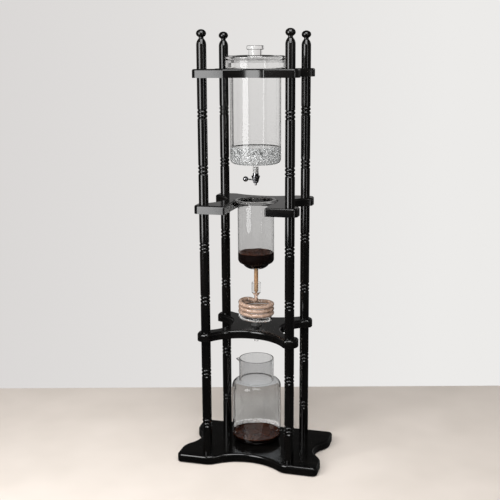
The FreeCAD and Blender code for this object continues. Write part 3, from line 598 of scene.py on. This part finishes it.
bed = [(0, bed_foot), (cup_r, bed_foot)]
bed += through((cup_r, bed_foot), bulge, (bed_r, shoulder))
bed += [(bed_r * (1 - ring / BED_RINGS), BED_LEVEL) for ring in range(BED_RINGS)]
bed += [(0, BED_LEVEL)]
coffee_bed = turned_mesh("coffee_bed", bed, BED_STEPS)
for corner in coffee_bed.data.vertices:
    if corner.co.z > BED_LEVEL - ON_TOP:
        heaves = [noise.noise(corner.co * fineness) * rise for fineness, rise in BED_HEAVES]
        corner.co.z += sum(heaves)
coffee_bed.data.materials.append(grounds())
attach(coffee_bed, "coffee_stage")


# ---- Coffee under the filter and in the drip tube --------------------------------
# Strong coffee stands in the small bowl round the filter. It runs down the drip tube
# as a tan stream, and a drop hangs from the tube's tip.
BOWL_DEPTH = 0.0084         # from the filter's foot to the bowl's floor, inside
BOWL_OUT = 0.8              # where its arc passes, as shares of the ring's radius and the depth
BOWL_UP = 0.42
BOWL_INTO_BED = 0.0003      # the bowl's coffee and the grounds overlap by this much
DRIP_BORE = 0.0038
DRIP_STEPS = 32
DROP = [(0, 0.0060), (0.0014, 0.0056), (0.0027, 0.0040), (DRIP_BORE, 0.0004)]  # radius, and down
TIP_EDGE = 0.0004
STRONG_DARK = (0.0014, 0.0005, 0.0004, 1)
STRONG_PALE = (0.004, 0.0015, 0.001, 1)
TAN_DARK = (0.38, 0.20, 0.10, 1)
TAN_PALE = (0.56, 0.36, 0.20, 1)


def coffee(name, dark, pale, see_through):
    finish = new_finish(name)
    swirl = finish.speckle(finish.place(), scale=110.0)
    return finish.surface(
        Base_Color=finish.ramp(swirl, [(0.35, dark), (0.65, pale)]),
        Roughness=swirl * 0.1 + 0.02,
        Normal=finish.bump(swirl, strength=0.1, distance=0.0005),
        Transmission_Weight=see_through,
        IOR=1.34,
        Specular_IOR_Level=0.1,
    )


bowl_floor = filter_foot - BOWL_DEPTH
bowl_top = bed_foot + BOWL_INTO_BED
bulge = (ring_r * BOWL_OUT, bowl_floor + BOWL_DEPTH * BOWL_UP)
bowl = [(0, bowl_floor), (DRIP_BORE, bowl_floor)]
bowl += through((DRIP_BORE, bowl_floor), bulge, (cup_r, filter_foot))
bowl += [(cup_r, bowl_top), (0, bowl_top)]
bowl_coffee = turned_mesh("bowl_coffee", bowl)
strong_coffee = coffee("strong_coffee", STRONG_DARK, STRONG_PALE, see_through=0.0)
bowl_coffee.data.materials.append(strong_coffee)
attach(bowl_coffee, "coffee_stage")

drip_r = DRIP_BORE + INTO_WALL
drip_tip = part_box("coffee_beaker")[0].z
drip = [(radius, drip_tip - down) for radius, down in DROP]
drip += [(drip_r, drip_tip + TIP_EDGE), (drip_r, bowl_floor), (0, bowl_floor)]
drip_stream = turned_mesh("drip_stream", drip, DRIP_STEPS)
tan_coffee = coffee("tan_coffee", TAN_DARK, TAN_PALE, see_through=0.1)
drip_stream.data.materials.append(tan_coffee)
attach(drip_stream, "coffee_stage")


# ---- Coffee in the funnel and the coil -------------------------------------------
# A little coffee stands in the funnel's cone and runs on through the coil's upper
# turns as a thin stream, which looks milky through the round glass. Most of the lowest
# turn has run dry.
FUNNEL_CONE = 0.009
FUNNEL_WALL = 0.0015
FUNNEL_BORE = 0.0041
FUNNEL_FILL = 0.0058        # from the funnel's foot to the coffee's surface
COIL_R = 0.0436             # to the middle of the tube
COIL_TUBE_R = 0.0056
COIL_PITCH = 0.0122
COIL_HALF_TURNS = 7
COIL_CLOCK = math.radians(-20)
COIL_CLEAR = 0.018          # from the shelf to the lowest turn
ARM_SWING_R = 0.014
NECK_BEND_R = 0.010
DRY_HALF_TURNS = 1.5
HALF_TURN_STEPS = 24
STREAM_R = 0.0036
MILKY_DARK = (0.36, 0.24, 0.17, 1)
MILKY_PALE = (0.55, 0.40, 0.32, 1)

milky_coffee = coffee("thin_coffee", MILKY_DARK, MILKY_PALE, see_through=0.1)
funnel_low, funnel_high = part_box("inlet_funnel")
funnel_r = funnel_high.x - FUNNEL_WALL + INTO_GLASS
fill_share = (FUNNEL_FILL - FUNNEL_WALL) / (FUNNEL_CONE - FUNNEL_WALL / 2)
fill_r = FUNNEL_BORE + (funnel_r - FUNNEL_BORE) * fill_share
fill_level = funnel_low.z + FUNNEL_FILL
filled = [(0, funnel_low.z), (FUNNEL_BORE, funnel_low.z)]
filled += [(FUNNEL_BORE, funnel_low.z + FUNNEL_WALL), (fill_r, fill_level), (0, fill_level)]
funnel_coffee = turned_mesh("funnel_coffee", filled, DRIP_STEPS)
funnel_coffee.data.materials.append(milky_coffee)
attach(funnel_coffee, "coil")

coil_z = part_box("lower_shelf")[1].z + COIL_CLEAR + COIL_TUBE_R
coil_top = coil_z + COIL_HALF_TURNS * COIL_PITCH / 2


def on_coil(half_turns):
    """A point of the coil's middle line: half turns tilted about the line of their ends."""
    whole = min(int(half_turns), COIL_HALF_TURNS - 1)
    turn = math.pi * (half_turns - whole)
    bulge = math.hypot(COIL_R, COIL_PITCH / 4)
    level = coil_z + whole * COIL_PITCH / 2
    climb = COIL_PITCH / 4 * (1 - math.cos(turn))
    point = Vector((COIL_R * math.cos(turn), -bulge * math.sin(turn), level + climb))
    return Matrix.Rotation(COIL_CLOCK + math.pi * whole, 3, "Z") @ point


def top_arm():
    """Points from the neck on the coil's axis out along an arm and round into the top turn."""
    middle = COIL_R - ARM_SWING_R
    lean = math.asin(ARM_SWING_R / middle)
    points = []
    for reach, rise in arc(NECK_BEND_R, NECK_BEND_R, NECK_BEND_R, 180, 270):
        points.append((reach * math.cos(lean), -reach * math.sin(lean), coil_top + rise))
    for x, y in arc(middle, 0, ARM_SWING_R, 90 + math.degrees(lean), 0):
        points.append((x, -y, coil_top))
    turned = Matrix.Rotation(COIL_CLOCK + math.pi * COIL_HALF_TURNS, 3, "Z")
    return [turned @ Vector(point) for point in points]


def swept_mesh(name, path, radius, sides=14):
    """A closed round bar along a line of points."""
    form = bmesh.new()
    rings = []
    across = Vector((1, 0, 0))
    for index, point in enumerate(path):
        ahead = (path[min(index + 1, len(path) - 1)] - path[max(index - 1, 0)]).normalized()
        across = (across - ahead * across.dot(ahead)).normalized()
        upward = ahead.cross(across)
        ring = []
        for side in range(sides):
            turn = 2 * math.pi * side / sides
            outward = across * math.cos(turn) + upward * math.sin(turn)
            ring.append(form.verts.new(point + outward * radius))
        rings.append(ring)
    for low, high in zip(rings, rings[1:]):
        for side in range(sides):
            after = (side + 1) % sides
            form.faces.new([low[side], low[after], high[after], high[side]])
    form.faces.new(rings[0])
    form.faces.new(rings[-1])
    return finished(name, form)


wet_steps = range(round(DRY_HALF_TURNS * HALF_TURN_STEPS), COIL_HALF_TURNS * HALF_TURN_STEPS)
line = [on_coil(step / HALF_TURN_STEPS) for step in wet_steps]
line += reversed(top_arm())
line += [Vector((0, 0, funnel_low.z))]
coil_stream = swept_mesh("coil_stream", line, STREAM_R)
coil_stream.data.materials.append(milky_coffee)
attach(coil_stream, "coil")


# ---- Coffee in the carafe --------------------------------------------------------
# A shallow pool of finished coffee with a ring of pale bubbles where it meets the
# glass, and splashes drying on the wall above it.
CARAFE_R = 0.0688
CARAFE_WALL = 0.0028
CARAFE_CORNER = 0.0142
POOL_LEVEL = 0.045
POOL_EDGE = [(0, 0.0012), (0.0012, 0.0002), (0.003, 0)]     # inward, and up
POOL_SKIN = 0.0008
POOL_DEEP = (0.002, 0.001, 0.0008, 1)
POOL_DARK = (0.020, 0.004, 0.0012, 1)
POOL_PALE = (0.038, 0.011, 0.004, 1)


def pool_coffee():
    finish = new_finish("finished_coffee")
    swirl = finish.speckle(finish.place(), scale=40.0)
    surface = finish.ramp(swirl, [(0.35, POOL_DARK), (0.65, POOL_PALE)])
    return finish.surface(
        Base_Color=two_tone(finish, POOL_DEEP, surface, POOL_LEVEL, POOL_SKIN),
        Roughness=swirl * 0.08 + 0.02,
        Specular_IOR_Level=WET_GLOSS,
    )


carafe_low, carafe_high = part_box("carafe")
carafe_centre = Vector((carafe_high.x - CARAFE_R, (carafe_low.y + carafe_high.y) / 2, 0))
pool_r = CARAFE_R - CARAFE_WALL + INTO_GLASS
pool_floor = carafe_low.z + CARAFE_WALL - INTO_GLASS
profile = liquid(pool_floor, pool_r, CARAFE_CORNER, POOL_LEVEL, POOL_EDGE)
carafe_coffee = turned_mesh("carafe_coffee", profile)
carafe_coffee.data.transform(Matrix.Translation(carafe_centre))
carafe_coffee.data.materials.append(pool_coffee())
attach(carafe_coffee, "carafe")

BUBBLES = 1200
BUBBLE_SMALL = 0.0007
BUBBLE_LARGE = 0.0019
BUBBLE_BUMPS = 0.05
BUBBLE_OFF_WALL = 0.9       # this and the next one are in sizes of the bubble
BUBBLE_AFLOAT = 0.4
FROTH_MIDDLE = math.radians(105)
FROTH_SWING = 82            # degrees to either side
FROTH_WIDE = 0.003
FROTH_HIGH = 0.0105
FROTH_TO_WALL = 3           # the higher this power, the closer bubbles keep to the wall
FROTH_TO_POOL = 1.1         # and here, to the coffee
FROTH_TILT = 0.011          # the coffee was swirled, so its ring stands higher at the ends
SPLASHES = 90
SPLASH_SMALL = 0.0004
SPLASH_LARGE = 0.0011
SPLASH_BUMPS = 0.2
SPLASH_FROM = -30           # degrees round the carafe
SPLASH_TO = 240
SPLASH_LOW = 0.004
SPLASH_HIGH = 0.016
SPLASH_TO_POOL = 2
FROTH_BROWN = (0.22, 0.17, 0.14, 1)
FROTH_CREAM = (0.80, 0.74, 0.69, 1)
FROTH_WHITE = (0.95, 0.93, 0.90, 1)
FROTH_RANDOM = random.Random(5)


def in_carafe(reach, turn, height):
    """A place in the carafe, by its distance and direction from the carafe's own axis."""
    return Vector((reach * math.cos(turn), reach * math.sin(turn), height)) + carafe_centre


def froth():
    finish = new_finish("coffee_froth")
    tone = finish.speckle(finish.place(), scale=300.0, detail=2.0)
    colour = finish.ramp(tone, [(0.34, FROTH_BROWN), (0.44, FROTH_CREAM), (0.60, FROTH_WHITE)])
    return finish.surface(Base_Color=colour, Roughness=tone * 0.3 + 0.05)


form = bmesh.new()
for bubble in range(BUBBLES):
    away = math.radians(FROTH_RANDOM.uniform(-FROTH_SWING, FROTH_SWING))
    size = FROTH_RANDOM.uniform(BUBBLE_SMALL, BUBBLE_LARGE)
    inward = FROTH_RANDOM.random() ** FROTH_TO_WALL * FROTH_WIDE * math.cos(away)
    reach = pool_r - size * BUBBLE_OFF_WALL - inward
    piled = FROTH_RANDOM.random() ** FROTH_TO_POOL * FROTH_HIGH
    banked = (1 - math.cos(away)) * FROTH_TILT + piled
    height = POOL_LEVEL + size * BUBBLE_AFLOAT + banked
    place = in_carafe(reach, FROTH_MIDDLE + away, height)
    add_lump(form, place, size, FROTH_RANDOM, BUBBLE_BUMPS)
for splash in range(SPLASHES):
    turn = math.radians(FROTH_RANDOM.triangular(SPLASH_FROM, SPLASH_TO))
    size = FROTH_RANDOM.uniform(SPLASH_SMALL, SPLASH_LARGE)
    height = POOL_LEVEL + SPLASH_LOW + FROTH_RANDOM.random() ** SPLASH_TO_POOL * SPLASH_HIGH
    add_lump(form, in_carafe(pool_r, turn, height), size, FROTH_RANDOM, SPLASH_BUMPS)
carafe_froth = finished("carafe_froth", form)
carafe_froth.data.materials.append(froth())
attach(carafe_froth, "carafe")


# ---- Room ------------------------------------------------------------------------
# A pale cloth on a counter, a pale backdrop all round, two tall soft boxes and one
# overhead. Gloss reflects a dark room, with the backdrop only in a band just over the
# horizon, and never the cloth. What glass bends in from above is a dark ceiling.
FLOOR_HALF = 3.0
FLOOR_BACK = 0.506
FLOOR_FRONT = -3.0
CLOTH_DARK = (0.70, 0.635, 0.575, 1)
CLOTH_PALE = (0.76, 0.69, 0.63, 1)
BACKDROP_LEFT = (0.69, 0.67, 0.66, 1)
BACKDROP_RIGHT = (0.84, 0.83, 0.815, 1)
BACKDROP_SHIFT = 0.55       # the backdrop starts to pale this far left of straight back
ROOM_DIFFUSE = 0.36

# How bright the room is from straight down at 0, by the horizon at 0.5, to straight up at 1.
REFLECTED = [(0.0, 0.04), (0.5, 0.06), (0.55, 0.40), (0.62, 0.30), (0.66, 0.04), (1.0, 0.05)]
REFRACTED = [(0.0, 1.0), (0.68, 1.0), (0.78, 0.35), (1.0, 0.2)]


def floor_cloth():
    finish = new_finish("floor")
    mottle = finish.speckle(finish.place(), scale=5.0, detail=2.0)
    colour = finish.ramp(mottle, [(0.3, CLOTH_DARK), (0.7, CLOTH_PALE)])
    return finish.surface(Base_Color=colour, Roughness=0.9, Specular_IOR_Level=0.1)


form = bmesh.new()
facing = Matrix.Rotation(CAMERA_AZIMUTH, 3, "Z")
outline = [(-FLOOR_HALF, FLOOR_FRONT), (FLOOR_HALF, FLOOR_FRONT)]
outline += [(FLOOR_HALF, FLOOR_BACK), (-FLOOR_HALF, FLOOR_BACK)]
form.faces.new([form.verts.new(facing @ Vector((x, y, 0))) for x, y in outline])
floor = finished("floor", form)
floor.data.materials.append(floor_cloth())
floor.visible_glossy = False

world = bpy.data.worlds.new("studio")
bpy.context.scene.world = world
studio = Finish(world)
direction = studio.node("ShaderNodeTexCoord", {}, {}, "Generated")
across = studio.node("ShaderNodeSeparateXYZ", {}, {"Vector": direction}, "X")
upward = studio.node("ShaderNodeSeparateXYZ", {}, {"Vector": direction}, "Z")
backdrop = studio.ramp(across + BACKDROP_SHIFT, [(0.0, BACKDROP_LEFT), (0.5, BACKDROP_RIGHT)])
camera_ray = studio.node("ShaderNodeLightPath", {}, {}, "Is Camera Ray")
through_ray = studio.node("ShaderNodeLightPath", {}, {}, "Is Transmission Ray")
glossy_ray = studio.node("ShaderNodeLightPath", {}, {}, "Is Glossy Ray")
seen = camera_ray.maths("MAXIMUM", camera_ray, through_ray)
gloss = glossy_ray * (1 - seen)
reflected = studio.ramp(upward * 0.5 + 0.5, REFLECTED)
refracted = studio.ramp(upward * 0.5 + 0.5, REFRACTED)
plain = camera_ray + through_ray * (1 - camera_ray) * refracted
strength = plain + gloss * reflected + (1 - seen - gloss) * ROOM_DIFFUSE
studio.plug(studio.tree.nodes["Background"], {"Color": backdrop, "Strength": strength})


def softbox(name, azimuth, out, high, tilt, width, tall, radiance):
    """A rectangular lamp on that side of the tower, tilted up from facing straight down."""
    lamp = bpy.data.lights.new(name, "AREA")
    lamp.shape = "RECTANGLE"
    lamp.size = width
    lamp.size_y = tall
    lamp.energy = radiance * math.pi * width * tall
    holder = bpy.data.objects.new(name, lamp)
    turn = math.radians(azimuth)
    holder.location = Matrix.Rotation(turn, 3, "Z") @ Vector((0, -out, high))
    holder.rotation_euler = (math.radians(tilt), 0, turn)
    holder.visible_camera = False
    holder.visible_transmission = False     # bent through glass it would only add white specks
    bpy.context.scene.collection.objects.link(holder)


softbox("left_softbox", -30, out=1.35, high=1.075, tilt=90, width=0.64, tall=1.37, radiance=8.0)
softbox("right_softbox", 50, out=1.35, high=1.075, tilt=90, width=0.12, tall=1.37, radiance=5.0)
softbox("overhead", 15, out=0.95, high=2.1, tilt=32, width=1.1, tall=1.3, radiance=7.0)

bpy.context.scene.view_settings.view_transform = "Standard"
